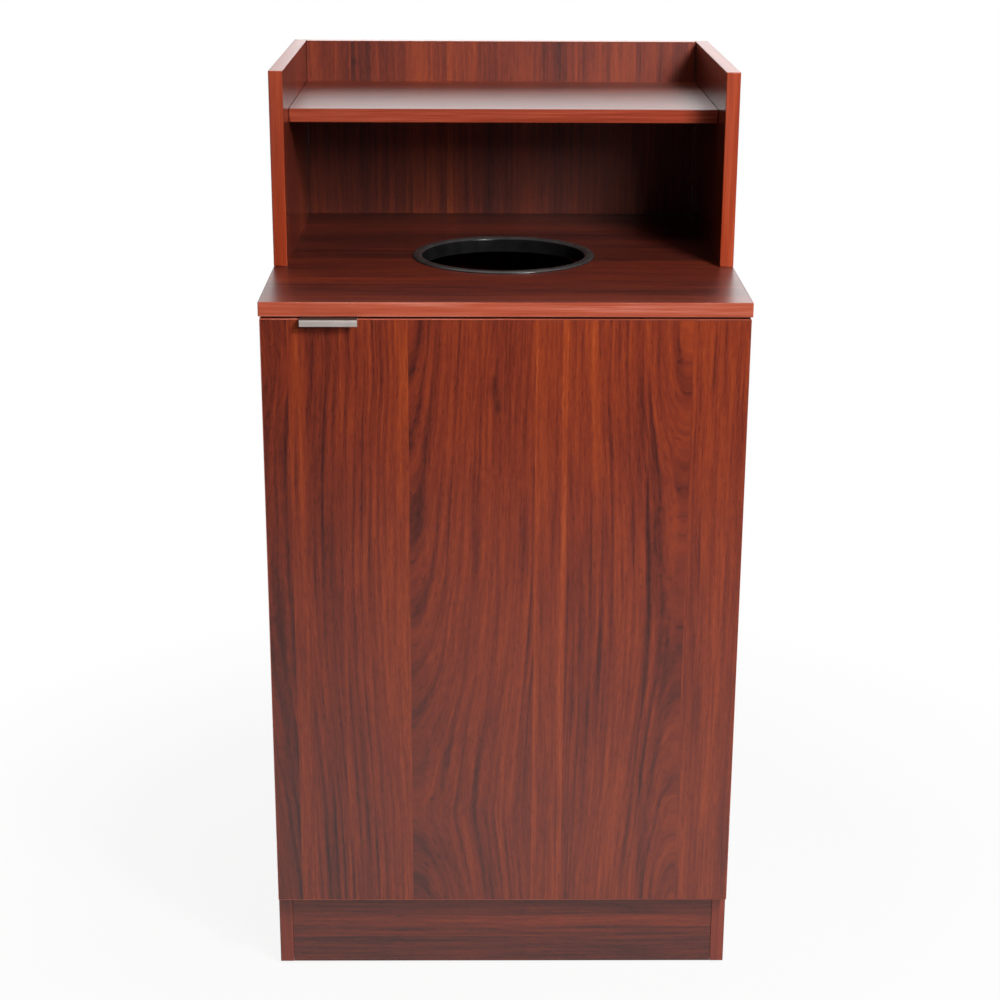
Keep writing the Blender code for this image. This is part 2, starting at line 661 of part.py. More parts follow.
def make_hinge_cup(hinge, height, metal, door):
    """A drawn cup with a screw flange, a notch that the links swing through and two stub pins for the outer link."""
    ear = (CUP_CENTRE - CUP_SCREW_OFFSET, CUP_SCREW_SPACING / 2)
    rim = arc((CUP_CENTRE, 0.0), CUP_RADIUS + CUP_RIM, 0, 360, CUP_STEPS)
    ears = arc(ear, CUP_EAR_RADIUS, 0, 360, SMALL_STEPS)
    ears += arc((ear[0], -ear[1]), CUP_EAR_RADIUS, 0, 360, SMALL_STEPS)
    # The plan is drawn as (height, across), the order that an outline along Y takes.
    outline = [(height + p[1], DOOR_HALF + p[0]) for p in hull(rim + ears)]
    flange_low, flange_high = DOOR_BACK + FIT, DOOR_BACK + FIT + FLANGE_METAL
    cup = solid(f"{hinge}_hinge_cup", prism(outline, flange_low, flange_high, "Y"), metal, door)
    middle = CUP_CENTRE
    floor = -CUP_DEPTH + FIT
    bowl = rod(
        hinge_point((middle, floor), height),
        hinge_point((middle, FIT + FLANGE_METAL / 2), height),
        CUP_RADIUS - FIT,
        CUP_STEPS,
    )
    hollow = rod(
        hinge_point((middle, floor + CUP_FLOOR), height),
        hinge_point((middle, BOARD), height),
        CUP_RADIUS - FIT - CUP_WALL,
        CUP_STEPS,
    )
    seats = [seat for name, seat in cup_screw_seats().items() if name.startswith(hinge)]
    holes = [screw_hole(seat, (0, -1, 0), FLANGE_METAL) for seat in seats]
    notch = block(
        hinge_point((CUP_NOTCH_INNER, CUP_NOTCH_FLOOR), height - CUP_NOTCH_HALF),
        hinge_point((0.0, BOARD), height + CUP_NOTCH_HALF),
    )
    boolean(cup, "UNION", [bowl])
    boolean(cup, "DIFFERENCE", [hollow, notch, rods(holes, SCREW_SHANK + SCREW_PLAY)])
    pins = []
    for sign in (-1, 1):
        tip, root = height + sign * CUP_PIN_TIP, height + sign * CUP_PIN_ROOT
        pins.append(rod(hinge_point(CUP_PIVOT_OUTER, tip), hinge_point(CUP_PIVOT_OUTER, root), PIN_RADIUS))
    boolean(cup, "UNION", pins)


def hinge_bar(path, half, low, high):
    """A bar along a path in the hinge's plan, between two heights."""
    outline = [hinge_point(p).xy for p in bar_outline(path, half)]
    return prism(outline, low, high, "Z")


def eye(place, radius, height, half):
    return rod(hinge_point(place, height - half), hinge_point(place, height + half), radius)


def make_outer_link(hinge, height, metal, pivot):
    """Two bent plates, joined by the tube on the arm's pin, each with an eye on one of the cup's stub pins."""
    a, c = Vector(ARM_PIVOT_OUTER), Vector(CUP_PIVOT_OUTER)
    along = (c - a).normalized()
    side = Vector((-along.y, along.x))
    path = [a] + [a + along * distance + side * offset for distance, offset in LINK_BENDS] + [c]
    hole = PIN_RADIUS + PIN_PLAY
    plates = []
    eyes = [eye(a, hole + EYE_WALL, height, LINK_HALF - PIN_PLAY)]
    for sign in (-1, 1):
        low, high = sorted((sign * (LINK_HALF - LINK_PLATE), sign * LINK_HALF))
        plates.append(hinge_bar(path, LINK_BAR, height + low, height + high))
        eyes.append(eye(c, hole + CUP_EYE_WALL, height + (low + high) / 2, LINK_PLATE / 2 - PIN_PLAY))
    link = solid(f"{hinge}_hinge_outer_link", plates[0], metal, pivot)
    boolean(link, "UNION", plates[1:] + eyes)
    boolean(link, "DIFFERENCE", [eye(a, hole, height, ARM_HALF), eye(c, hole, height, ARM_HALF)])


def make_inner_link(hinge, height, metal, pivot):
    """A short bar from the arm's nose, with the pin that lies in the cup."""
    b, d = Vector(ARM_PIVOT_INNER), Vector(CUP_PIVOT_INNER)
    half = INNER_LINK_HALF
    link = solid(f"{hinge}_hinge_inner_link", hinge_bar([b, d], LINK_BAR, height - half, height + half), metal, pivot)
    hole = PIN_RADIUS + PIN_PLAY
    boolean(
        link, "UNION", [eye(b, hole + EYE_WALL, height, half - PIN_PLAY), eye(d, PIN_RADIUS, height, FREE_PIN_HALF)]
    )
    boolean(link, "DIFFERENCE", [eye(b, hole, height, ARM_HALF)])


def make_hinge_arm(hinge, height, metal, cabinet):
    """A channel with its back towards the cabinet's middle, two pins in its nose and its adjusting screws."""
    a, b = ARM_PIVOT_OUTER, ARM_PIVOT_INNER
    crown = a[0] - ARM_CROWN
    shoulder = a[1] + ARM_SHOULDER
    tail = PLATE_V + ARM_TAIL
    corners = [(x, y) for x in (crown, crown + ARM_CHEEK) for y in (shoulder, tail)]
    nose = arc(b, ARM_NOSE, 0, 360, SMALL_STEPS) + arc(a, ARM_NOSE, 0, 360, SMALL_STEPS)
    outline = [hinge_point(p).xy for p in hull(nose + corners)]
    cheeks = []
    for sign in (-1, 1):
        low, high = sorted((sign * (ARM_HALF - ARM_METAL), sign * ARM_HALF))
        cheeks.append(prism(outline, height + low, height + high, "Z"))
    arm = solid(f"{hinge}_hinge_arm", cheeks[0], metal, cabinet)
    spread = ARM_HALF - ARM_METAL / 2
    web = block(
        hinge_point((crown + FIT / 2, shoulder + FIT), height - spread),
        hinge_point((crown + ARM_METAL, tail - FIT), height + spread),
    )
    pins = [eye(p, PIN_RADIUS, height, spread) for p in (a, b)]
    heads = []
    for sign in (-1, 1):
        v = PLATE_V + sign * ARM_SCREW_SPACING / 2
        heads.append(
            rod(
                hinge_point((crown + ARM_METAL / 2, v), height),
                hinge_point((crown - ARM_SCREW_HEIGHT, v), height),
                ARM_SCREW_RADIUS,
            )
        )
    boolean(arm, "UNION", cheeks[1:] + [web] + pins + heads)


def make_mounting_plate(hinge, height, metal, cabinet):
    """Two wings screwed to the side panel, and a rail that the arm's channel clips over."""
    face = SIDE_INNER - FIT
    line = DOOR_BACK + PLATE_V
    wings = arc((line, height - PLATE_HALF + PLATE_WING), PLATE_WING, 180, 360, 8)
    wings += arc((line, height + PLATE_HALF - PLATE_WING), PLATE_WING, 0, 180, 8)
    plate = solid(f"{hinge}_hinge_plate", prism(wings, plate_face(), face, "X"), metal, cabinet)
    half = ARM_HALF - ARM_METAL - FIT
    rail_top = hinge_point((ARM_PIVOT_OUTER[0] - ARM_CROWN + ARM_METAL + FIT, 0.0)).x
    rail = block(
        (rail_top, line - PLATE_RAIL, height - half), (plate_face() + PLATE_METAL / 2, line + PLATE_RAIL, height + half)
    )
    boolean(plate, "UNION", [rail])
    seats = [seat for seat in plate_screw_seats() if abs(seat.z - height) < PLATE_HALF]
    holes = [screw_hole(seat, (1, 0, 0)) for seat in seats]
    boolean(plate, "DIFFERENCE", [rods(holes, SCREW_SHANK + SCREW_PLAY)])
    for end, seat in zip(("low", "high"), seats):
        screw(f"{hinge}_plate_screw_{end}", seat - Vector((FIT, 0, 0)), (1, 0, 0), metal, cabinet)


def make_hinges(metal, cabinet, outer_pivot, inner_pivot, door):
    for hinge, height in HINGE_HEIGHTS.items():
        make_hinge_cup(hinge, height, metal, door)
        make_outer_link(hinge, height, metal, outer_pivot)
        make_inner_link(hinge, height, metal, inner_pivot)
        make_hinge_arm(hinge, height, metal, cabinet)
        make_mounting_plate(hinge, height, metal, cabinet)


def main():
    for obj in list(bpy.data.objects):
        bpy.data.objects.remove(obj, do_unlink=True)
    board = surface("mahogany_laminate", (0.16, 0.035, 0.018), 0.35)
    band = surface("mahogany_edge_band", (0.30, 0.07, 0.035), 0.32)
    plastic = surface("black_plastic", (0.012, 0.012, 0.013), 0.35)
    rubber = surface("clear_bumper", (0.55, 0.54, 0.50), 0.5)
    beech = surface("beech_dowel", (0.55, 0.38, 0.22), 0.7)
    nickel = surface("satin_nickel", (0.62, 0.60, 0.57), 0.35, 1.0)
    steel = surface("nickel_plated_steel", (0.55, 0.55, 0.55), 0.25, 1.0)
    cabinet = carrier("cabinet")
    outer_pivot = carrier("outer_link_axis", hinge_point(ARM_PIVOT_OUTER))
    inner_pivot = carrier("inner_link_axis", hinge_point(ARM_PIVOT_INNER))
    door = carrier("door_axis", hinge_point(CUP_PIVOT_OUTER))
    make_carcass(board, band, steel, plastic, cabinet)
    make_deck(board, band, cabinet)
    make_drop_ring(plastic, cabinet)
    make_hutch(board, band, beech, cabinet)
    make_tray_shelf(board, band, steel, cabinet)
    make_door(board, band, rubber, steel, door)
    make_pull(nickel, door)
    make_hinges(steel, cabinet, outer_pivot, inner_pivot, door)


main()
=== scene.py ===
"""Looks of the waste receptacle enclosure: wood-grain laminate, edge bands, fittings, light and camera.

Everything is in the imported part's frame: metres, +Z up, the front towards -Y.
"""
import math
import random
from collections import namedtuple

import bpy
from mathutils import Matrix, Vector


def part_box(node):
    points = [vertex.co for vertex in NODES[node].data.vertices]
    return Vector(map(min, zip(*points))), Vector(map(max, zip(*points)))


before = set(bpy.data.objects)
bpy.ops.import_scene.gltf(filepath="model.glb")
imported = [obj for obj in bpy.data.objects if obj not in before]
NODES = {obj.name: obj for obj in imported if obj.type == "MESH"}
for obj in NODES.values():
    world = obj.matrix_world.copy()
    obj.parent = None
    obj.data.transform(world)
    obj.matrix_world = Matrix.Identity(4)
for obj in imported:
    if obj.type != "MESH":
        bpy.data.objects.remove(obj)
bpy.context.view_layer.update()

X, Y, Z = (1.0, 0.0, 0.0), (0.0, 1.0, 0.0), (0.0, 0.0, 1.0)
TOWARDS_FRONT = (0.0, -1.0, 0.0)
WHITE = (1.0, 1.0, 1.0, 1.0)

Light = namedtuple("Light", "name place target size power")
Streaks = namedtuple("Streaks", "fineness stretch detail")  # waves in a metre across and along the grain
Plank = namedtuple("Plank", "start tone axis figure ring seed")
Knot = namedtuple("Knot", "across along half_width half_length depth")
Board = namedtuple("Board", "node across along seed widths figures tone roughness")
Band = namedtuple("Band", "name across along tones tone roughness nodes")

# Camera, as the photograph was taken: a 1000 pixel square on a 36 mm sensor
CAMERA_PLACE = Vector((-0.0346, -2.70185, 1.4677))
CAMERA_PITCH = math.radians(18.358)  # downwards
CAMERA_YAW = math.radians(0.681)  # to the right
CAMERA_ROLL = math.radians(0.273)
CAMERA_LENS = 73.13
CAMERA_SENSOR = 36.0

# Soft boxes: high on the right, wide and lower in front, behind for the tops, overhead, and low on the left
LIGHTS = (
    Light("key", (0.93, -1.50, 2.10), (0.0, -0.30, 0.95), (0.45, 0.45), 38.5),
    Light("fill", (1.05, -2.30, 1.95), (0.0, -0.20, 0.75), (0.80, 0.65), 22.5),
    Light("back", (0.57, 2.30, 2.10), (0.10, 0.30, 1.10), (2.40, 1.36), 20.5),
    Light("top", (0.10, -0.85, 2.55), (0.0, -0.15, 0.95), (1.20, 0.70), 3.6),
    Light("left", (-2.20, 1.00, 0.85), (-0.30, 0.0, 0.65), (1.20, 0.80), 16.0),
)

# White room: its plain fill light, and what gloss picks up from it on the camera's side
AMBIENT = 0.05
ROOM_BEHIND_CAMERA = 0.04
ROOM_TURN = (-0.2, 0.5)  # how far a direction points to the front, where the room grows dim

# Floor: white, with the object's shadow near it
FLOOR_REACH = 9.0
FLOOR_ALBEDO = 0.80
FLOOR_ROUGHNESS = 0.9
FLOOR_SHADOW = 0.10  # share of the floor near the object that shows its own light and shade
SHADOW_REACH = 1.1
GLOSS_NEAR, GLOSS_FAR = 0.7, 2.9  # in front of the object, between these, the floor grows dim in gloss
GLOSS_DIM = 0.02

# Laminate: where the grain lies, in metres
RING_SPACING = 0.0105
RING_SHARPNESS = 3.0
RING_CROWDING = 2.6  # how far the rings crowd or spread, in rings
WANDER = 0.010  # how far the grain strays from straight
TREMBLE = 0.0024
END_SHADE_DEPTH = 0.0002  # how far in from a board's ends its painted end shade starts, the laminate's thickness
FIGURES = 3  # how many figures a board's profile describes
RAMP_SHIFT = 2.0  # keeps the planks' axes above zero in a colour ramp
SEED_SPREAD = 10.0

# Laminate: how far each kind of streak moves the tone, and how much each kind of mark darkens it
BROAD_SWING = 0.46
MIDDLE_SWING = 0.58
FINE_SWING = 0.40
DRIFT_SWING = 0.24
LINE_DEPTH = 0.35
VEIN_DEPTH = 0.22
PORE_DEPTH = 0.12

# Laminate: the noise of each kind of streak, and the range of it that makes a mark
WANDER_STREAKS = Streaks(6.0, 2.4, 1.0)
TREMBLE_STREAKS = Streaks(38.0, 10.0, 2.0)
CROWDING_STREAKS = Streaks(30.0, 0.4, 1.0)
LINE_STREAKS = Streaks(20.0, 2.0, 2.0)
VEIN_STREAKS = Streaks(130.0, 3.0, 3.0)
PORE_STREAKS = Streaks(560.0, 95.0, 2.0)
BROAD_STREAKS = Streaks(60.0, 1.4, 2.0)
MIDDLE_STREAKS = Streaks(260.0, 9.0, 3.0)
FIBRE_STREAKS = Streaks(800.0, 60.0, 3.0)
DRIFT_STREAKS = Streaks(5.0, 1.6, 2.0)
LINE_RANGE = (0.38, 0.64)
VEIN_RANGE = (0.56, 0.76)
PORE_RANGE = (0.58, 0.72)

# Random planks and figures
PLANK_TONE = 0.52
PLANK_TONE_SPREAD = 0.13
PLANK_RINGS = (0.2, 0.8)
NEAR_AXIS = (-0.5, 1.5)  # in plank widths from a figured plank's start
FAR_AXES = (-2.0, 3.0)  # and from a straight-grained one's
PROFILE_STEP = 0.16  # between the places where a figure changes its pace
FIGURE_CUTS = (0.01, 0.08)

# Straight-grained planks in rows
STRAIGHT_AXIS = -0.6
STRAIGHT_SEED = 0.13
STRAIGHT_SEED_STEP = 0.05

# Edge bands
BAND_BROAD_STREAKS = Streaks(160.0, 4.0, 2.0)
BAND_FINE_STREAKS = Streaks(900.0, 16.0, 2.0)
BAND_BROAD_SWING = 0.7
BAND_FINE_SWING = 0.5
BAND_BROAD_SEED, BAND_FINE_SEED = 0.3, 1.7

# Relief and shading of surfaces, in metres where they are lengths
GRAIN_RELIEF = 0.08
GRAIN_DEPTH = 0.0001
GRAIN_ROUGHNESS = 0.08  # how much the grain changes the roughness
BRUSHED_DEPTH = 0.00005
BRUSHED_ROUGHNESS = 0.16
PLAIN_SPECULAR = 0.5
PALE_EDGE = 0.001  # height over which the plastic turns paler
BAND_ROUNDING = 0.0022  # radius that the bands' edges are shaded with
PLASTIC_ROUNDING = 0.0026
BEVEL_SAMPLES = 8
WELD_REACH = 0.00001
SHARP_ANGLE = math.radians(35)
FLAT_WEIGHT = 100


def srgb(red, green, blue):
    """The linear colour of an sRGB colour written in 0 to 255."""
    def linear(value):
        value /= 255.0
        return value / 12.92 if value <= 0.04045 else ((value + 0.055) / 1.055) ** 2.4

    return (linear(red), linear(green), linear(blue), 1.0)


class Finish:
    """A material's node tree, with a short call for each kind of node that the finishes use."""

    def __init__(self, name):
        self.material = bpy.data.materials.new(name)
        self.material.use_nodes = True
        self.tree = self.material.node_tree
        self.shader = self.tree.nodes["Principled BSDF"]
        self.place = self.node("ShaderNodeTexCoord").outputs["Object"]

    def feed(self, socket, value):
        """Links a socket to a value that is an output, and otherwise sets it."""
        if isinstance(value, bpy.types.NodeSocket):
            self.tree.links.new(value, socket)
        else:
            socket.default_value = value

    def node(self, kind, *values, **settings):
        node = self.tree.nodes.new(kind)
        for key, value in settings.items():
            setattr(node, key, value)
        for socket, value in zip(node.inputs, values):
            self.feed(socket, value)
        return node

    def math(self, operation, *values):
        return self.node("ShaderNodeMath", *values, operation=operation).outputs[0]

    def sum(self, *values):
        total = values[0]
        for value in values[1:]:
            total = self.math("ADD", total, value)
        return total

    def times(self, value, factor):
        return self.math("MULTIPLY", value, factor)

    def remap(self, value, low, high, start=0.0, end=1.0):
        """A value between low and high as one between start and end, held there beyond them."""
        return self.node("ShaderNodeMapRange", value, low, high, start, end).outputs[0]

    def around(self, value, swing):
        """A noise value as an offset of at most half the swing either way."""
        return self.math("MULTIPLY_ADD", value, swing, -swing / 2)

    def product(self, first, second):
        """The dot product of two vectors."""
        return self.node("ShaderNodeVectorMath", first, second, operation="DOT_PRODUCT").outputs["Value"]

    def dot(self, direction):
        """How far a point lies along a direction."""
        return self.product(self.place, direction)

    def noise(self, place, detail, scale=1.0):
        node = self.node("ShaderNodeTexNoise", noise_dimensions="3D")
        self.feed(node.inputs["Vector"], place)
        self.feed(node.inputs["Scale"], scale)
        self.feed(node.inputs["Detail"], detail)
        return node.outputs[0]

    def streaks(self, across, along, seed, shape):
        """Noise drawn out along the grain."""
        wide, long = self.times(across, shape.fineness), self.times(along, shape.stretch)
        place = self.node("ShaderNodeCombineXYZ", wide, long, seed).outputs[0]
        return self.noise(place, shape.detail)

    def ramp(self, value, stops, interpolation="LINEAR"):
        node = self.node("ShaderNodeValToRGB", value)
        ramp = node.color_ramp
        ramp.interpolation = interpolation
        ramp.elements[0].position = stops[0][0]
        ramp.elements[0].color = stops[0][1]
        ramp.elements[1].position = stops[-1][0]
        ramp.elements[1].color = stops[-1][1]
        for position, colour in stops[1:-1]:
            ramp.elements.new(position).color = colour
        return node

    def colour(self, value, stops):
        return self.ramp(value, stops).outputs["Color"]

    def bump(self, height, strength, depth, rounding=0.0):
        """Fine relief, on edges that are shaded as if rounded with a radius."""
        node = self.node("ShaderNodeBump")
        if rounding:
            edges = self.node("ShaderNodeBevel", rounding, samples=BEVEL_SAMPLES)
            self.feed(node.inputs["Normal"], edges.outputs[0])
        node.inputs["Strength"].default_value = strength
        node.inputs["Distance"].default_value = depth
        self.feed(node.inputs["Height"], height)
        self.feed(self.shader.inputs["Normal"], node.outputs[0])

    def set(self, **values):
        """Feeds the shader's sockets by their names, and gives the material."""
        for name, value in values.items():
            self.feed(self.shader.inputs[name.replace("_", " ").title()], value)
        return self.material


# Laminate


WOOD_TONES = (
    (0.00, srgb(50, 21, 18)),
    (0.25, srgb(84, 33, 25)),
    (0.50, srgb(120, 46, 28)),
    (0.72, srgb(146, 60, 29)),
    (1.00, srgb(178, 84, 40)),
)


def plank_values(finish, across, span, planks):
    """The values of the plank under a point: axis, ring strength, seed, tone and the figures' weights."""
    low, high = span
    inside = finish.remap(across, low, high)
    shape, figures = [], []
    for plank in planks:
        position = max(0.0, (plank.start - low) / (high - low))
        weights = [float(plank.figure == number) for number in range(FIGURES)]
        shape.append((position, (plank.axis + RAMP_SHIFT, plank.ring, plank.seed, plank.tone)))
        figures.append((position, (*weights, 1.0)))
    node = finish.ramp(inside, shape, "CONSTANT")
    split = finish.node("ShaderNodeSeparateColor", node.outputs["Color"])
    axis = finish.math("SUBTRACT", split.outputs[0], RAMP_SHIFT)
    seed = finish.times(split.outputs[2], SEED_SPREAD)
    weights = finish.ramp(inside, figures, "CONSTANT").outputs["Color"]
    return axis, split.outputs[1], seed, node.outputs["Alpha"], weights


def profile_values(finish, along, profile, weights):
    """How far from the tree's middle the board is cut at a point, and how strong the rings are there."""
    first, last = profile[0][0], profile[-1][0]
    inside = finish.remap(along, first, last)
    stops = [((place - first) / (last - first), values) for place, *values in profile]
    node = finish.ramp(inside, stops, "CARDINAL")
    return finish.product(node.outputs["Color"], weights), node.outputs["Alpha"]


def ring_lines(finish, rings, along, seed, strength):
    """Dark lines at the rings, which crowd, spread, fade and come back."""
    crowding = finish.around(finish.streaks(rings, along, seed, CROWDING_STREAKS), RING_CROWDING)
    turns = finish.times(crowding, math.tau)
    phase = finish.math("MULTIPLY_ADD", rings, math.tau / RING_SPACING, turns)
    wave = finish.math("MULTIPLY_ADD", finish.math("COSINE", phase), 0.5, 0.5)
    presence = finish.remap(finish.streaks(rings, along, seed, LINE_STREAKS), *LINE_RANGE)
    return finish.times(finish.times(finish.math("POWER", wave, RING_SHARPNESS), presence), strength)


def knot_shade(finish, across, along, knot):
    """The darkening of a knot, a soft oval that strays with the grain."""
    wide = finish.times(finish.math("SUBTRACT", across, knot.across), 1.0 / knot.half_width)
    long = finish.times(finish.math("SUBTRACT", along, knot.along), 1.0 / knot.half_length)
    squared = finish.math("MULTIPLY_ADD", wide, wide, finish.times(long, long))
    return finish.remap(squared, 0.0, 1.0, knot.depth, 0.0)


def laminate(name, across, along, span, planks, profile, tone, roughness, knots=(), shaded_end=None):
    """Wood-grain laminate, whose planks lie side by side across the board.

    A plank's rings are hyperbolas about its axis: the profile gives, at some places along the board,
    how far from the tree's middle each figure is cut, and how strong the rings are there. Streaks and
    pores follow the rings, and knots are dark spots. Further out than the shaded end the board's end
    faces take the darkest tone and lose their sheen: painted shade for the slit where it meets other boards."""
    finish = Finish(name)
    u, v = finish.dot(across), finish.dot(along)
    axis, ring, seed, plank_tone, weights = plank_values(finish, u, span, planks)
    wander = finish.around(finish.streaks(u, v, seed, WANDER_STREAKS), WANDER)
    tremble = finish.around(finish.streaks(u, v, seed, TREMBLE_STREAKS), TREMBLE)
    off_axis = finish.sum(finish.math("SUBTRACT", u, axis), wander, tremble)
    cut, cut_strength = profile_values(finish, v, profile, weights)
    squared = finish.math("MULTIPLY_ADD", off_axis, off_axis, finish.times(cut, cut))
    rings = finish.math("SQRT", squared)

    broad = finish.around(finish.streaks(rings, v, seed, BROAD_STREAKS), BROAD_SWING)
    middle = finish.around(finish.streaks(rings, v, seed, MIDDLE_STREAKS), MIDDLE_SWING)
    fibre = finish.streaks(rings, v, seed, FIBRE_STREAKS)
    fine = finish.around(fibre, FINE_SWING)
    drift = finish.around(finish.streaks(u, v, seed, DRIFT_STREAKS), DRIFT_SWING)
    shade = finish.sum(plank_tone, tone, broad, middle, fine, drift)
    lines = ring_lines(finish, rings, v, seed, finish.times(ring, cut_strength))
    veins = finish.remap(finish.streaks(rings, v, seed, VEIN_STREAKS), *VEIN_RANGE)
    pores = finish.remap(finish.streaks(rings, v, seed, PORE_STREAKS), *PORE_RANGE)
    for mark, depth in ((lines, LINE_DEPTH), (veins, VEIN_DEPTH), (pores, PORE_DEPTH)):
        shade = finish.math("SUBTRACT", shade, finish.times(mark, depth))
    for knot in knots:
        shade = finish.math("SUBTRACT", shade, knot_shade(finish, finish.sum(off_axis, axis), v, knot))

    # Painted shade: past the shaded end the end faces turn to the darkest tone with no sheen, so the joint
    # stays dark
    if shaded_end is not None:
        unshaded_face = finish.math("LESS_THAN", finish.math("ABSOLUTE", u), shaded_end)
        shade = finish.times(shade, unshaded_face)
        finish.feed(finish.shader.inputs["Specular IOR Level"], finish.times(unshaded_face, PLAIN_SPECULAR))
    finish.bump(finish.math("SUBTRACT", fibre, pores), GRAIN_RELIEF, GRAIN_DEPTH)
    rough = finish.math("MULTIPLY_ADD", fibre, GRAIN_ROUGHNESS, roughness)
    return finish.set(base_color=finish.colour(shade, WOOD_TONES), roughness=rough)


def straight_planks(rows, ring):
    """Straight-grained planks from rows of start and tone."""
    planks = []
    for number, (start, tone) in enumerate(rows):
        seed = STRAIGHT_SEED + STRAIGHT_SEED_STEP * number
        planks.append(Plank(start, tone, STRAIGHT_AXIS, None, ring, seed))
    return planks


def random_planks(draw, low, high, widths, figures):
    """Planks of random width, tone and figure, side by side between two places."""
    planks = []
    start = low
    while start < high:
        width = draw.uniform(*widths)
        figure = draw.choice(figures)
        off = draw.choice(FAR_AXES) if figure is None else draw.uniform(*NEAR_AXIS)
        ring = draw.uniform(*PLANK_RINGS)
        tone = PLANK_TONE + draw.uniform(-PLANK_TONE_SPREAD, PLANK_TONE_SPREAD)
        planks.append(Plank(start, tone, start + off * width, figure, ring, draw.random()))
        start += width
    return planks


def random_profile(draw, low, high):
    """Figures whose cut nears the tree's middle along a board, so that their arches stay open."""
    count = max(3, round((high - low) / PROFILE_STEP) + 1)
    places = [low + (high - low) * number / (count - 1) for number in range(count)]
    cuts = [sorted((draw.uniform(*FIGURE_CUTS) for _ in places), reverse=True) for _ in range(FIGURES)]
    return [(*row, 1.0) for row in zip(places, *cuts)]


# The door's planks from left to right: start, tone, axis, figure, ring strength, seed
DOOR_PLANKS = (
    Plank(-0.2985, 0.42, -0.345, 0, 0.7, 0.11),
    Plank(-0.2680, 0.63, -0.400, None, 0.1, 0.23),
    Plank(-0.2460, 0.50, -0.345, 0, 0.7, 0.37),
    Plank(-0.2050, 0.63, -0.345, 0, 0.2, 0.37),
    Plank(-0.1990, 0.57, -0.345, 0, 0.7, 0.37),
    Plank(-0.1310, 0.61, -0.345, 0, 0.2, 0.37),
    Plank(-0.1190, 0.47, -0.119, 1, 1.0, 0.41),
    Plank(-0.1000, 0.52, -0.119, 1, 1.0, 0.41),
    Plank(-0.0700, 0.54, -0.119, 1, 0.8, 0.41),
    Plank(0.0355, 0.66, -0.250, None, 0.0, 0.53),
    Plank(0.0385, 0.59, -0.250, None, 0.2, 0.53),
    Plank(0.0690, 0.70, -0.250, None, 0.0, 0.53),
    Plank(0.0750, 0.52, 0.226, 2, 0.5, 0.67),
    Plank(0.0860, 0.59, 0.226, 2, 0.5, 0.67),
    Plank(0.1760, 0.53, 0.226, 2, 1.1, 0.67),
    Plank(0.2275, 0.57, 0.480, None, 0.3, 0.79),
)

# Along the door's height: the cut of its left, middle and right figures, and the strength of the rings
DOOR_PROFILE = (
    (0.1085, 0.040, 0.070, 0.012, 1.2),
    (0.2025, 0.052, 0.084, 0.030, 1.2),
    (0.2625, 0.060, 0.086, 0.039, 1.2),
    (0.4125, 0.078, 0.068, 0.053, 1.1),
    (0.5525, 0.085, 0.050, 0.057, 0.9),
    (0.7025, 0.085, 0.036, 0.053, 0.7),
    (0.7575, 0.083, 0.032, 0.047, 0.6),
    (0.7925, 0.080, 0.029, 0.042, 0.6),
    (0.8275, 0.076, 0.026, 0.038, 0.6),
    (0.8625, 0.076, 0.022, 0.036, 0.6),
    (0.9009, 0.078, 0.020, 0.035, 0.6),
)
DOOR_KNOTS = (Knot(-0.016, 0.814, 0.007, 0.020, 0.20), Knot(-0.008, 0.791, 0.005, 0.010, 0.16))

# The planks of the hutch's back from left to right, and of the deck from front to back: start and tone
HUTCH_BACK_PLANKS = (
    (-0.2820, 0.58), (-0.2358, 0.47), (-0.2191, 0.45), (-0.2089, 0.40), (-0.1928, 0.51), (-0.1666, 0.53),
    (-0.1316, 0.60), (-0.0966, 0.54), (-0.0798, 0.70), (-0.0710, 0.60), (-0.0265, 0.50), (0.0172, 0.58),
    (0.0697, 0.50), (0.1047, 0.58), (0.1492, 0.54), (0.1580, 0.62), (0.2010, 0.56),
)
# The deck's tones are partly painted shade: the rows inside the hutch were darkened to the shade that the
# shelf casts there
DECK_PLANKS = (
    (-0.2982, 0.65), (-0.2630, 0.53), (-0.2290, 0.54), (-0.1945, 0.59), (-0.0457, 0.43), (0.1350, 0.56),
    (0.2388, 0.53),
)
HUTCH_KNOTS = (Knot(-0.213, 1.142, 0.005, 0.008, 0.12),)

# Boards with random planks, which are wide, less wide or slim, and figured, calm or straight-grained
WIDE, LESS_WIDE, SLIM = (0.060, 0.140), (0.060, 0.130), (0.030, 0.060)
FIGURED, CALM, STRAIGHT = (0, 1, 2, None), (0, None, None), (None,)
BOARDS = (
    Board("back_panel", X, Z, 43, WIDE, FIGURED, 0.0, 0.18),
    Board("hutch_left_panel", Y, Z, 47, LESS_WIDE, CALM, 0.0, 0.18),
    Board("hutch_right_panel", Y, Z, 53, LESS_WIDE, STRAIGHT, 0.0, 0.18),
    Board("left_side_panel", Y, Z, 59, WIDE, FIGURED, 0.0, 0.18),
    Board("right_side_panel", Y, Z, 61, WIDE, FIGURED, 0.0, 0.18),
    Board("tray_shelf", Y, X, 71, WIDE, CALM, 0.0, 0.32),
    Board("bottom_panel", Y, X, 73, WIDE, CALM, 0.0, 0.18),
    Board("plinth_board", Z, X, 117, SLIM, STRAIGHT, -0.10, 0.18),
)


# Other finishes


